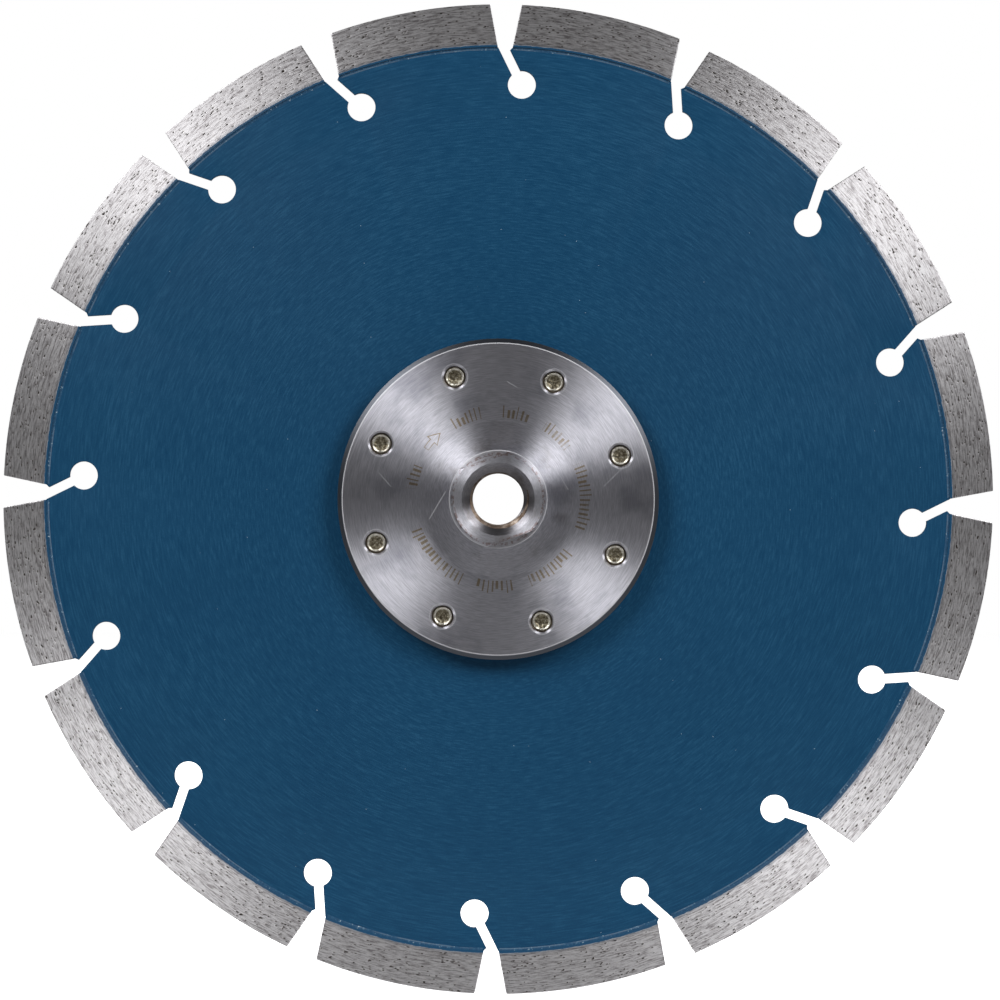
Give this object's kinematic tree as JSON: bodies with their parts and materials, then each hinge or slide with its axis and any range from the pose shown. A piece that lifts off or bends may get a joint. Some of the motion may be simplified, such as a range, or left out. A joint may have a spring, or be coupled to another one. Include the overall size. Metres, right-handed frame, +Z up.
{
  "type": "diamond blade",
  "caption": "Round segmented cutting disc for masonry: painted steel core with leaning keyhole slots, welded diamond segments and a screw-on threaded steel flange.",
  "frame": {"origin": "on the spin axis, in the middle of the core's thickness, inside the spindle thread", "axes": "+Y along the spin axis from the flange side to the cutting side, so the flange's boss points to -Y; +Z up and +X right as seen from the flange side"},
  "size_m": [0.23, 0.0152, 0.23],
  "materials": {
    "core_lacquer": "satin lacquer over ground steel",
    "turned_steel": "turned, with concentric tool marks",
    "diamond_bond": "sintered metal, ground flat, with diamond grit",
    "zinc_screw": "yellow-passivated zinc plate"
  },
  "bodies": {
    "root": {"core": "core_lacquer", "flange": "turned_steel", "segment_01": "diamond_bond", "segment_02": "diamond_bond", "segment_03": "diamond_bond", "segment_04": "diamond_bond", "segment_05": "diamond_bond", "segment_06": "diamond_bond", "segment_07": "diamond_bond", "segment_08": "diamond_bond", "segment_09": "diamond_bond", "segment_10": "diamond_bond", "segment_11": "diamond_bond", "segment_12": "diamond_bond", "segment_13": "diamond_bond", "segment_14": "diamond_bond", "segment_15": "diamond_bond", "segment_16": "diamond_bond", "screw_1": "zinc_screw", "screw_2": "zinc_screw", "screw_3": "zinc_screw", "screw_4": "zinc_screw", "screw_5": "zinc_screw", "screw_6": "zinc_screw", "screw_7": "zinc_screw", "screw_8": "zinc_screw"}
  },
  "joints": []
}
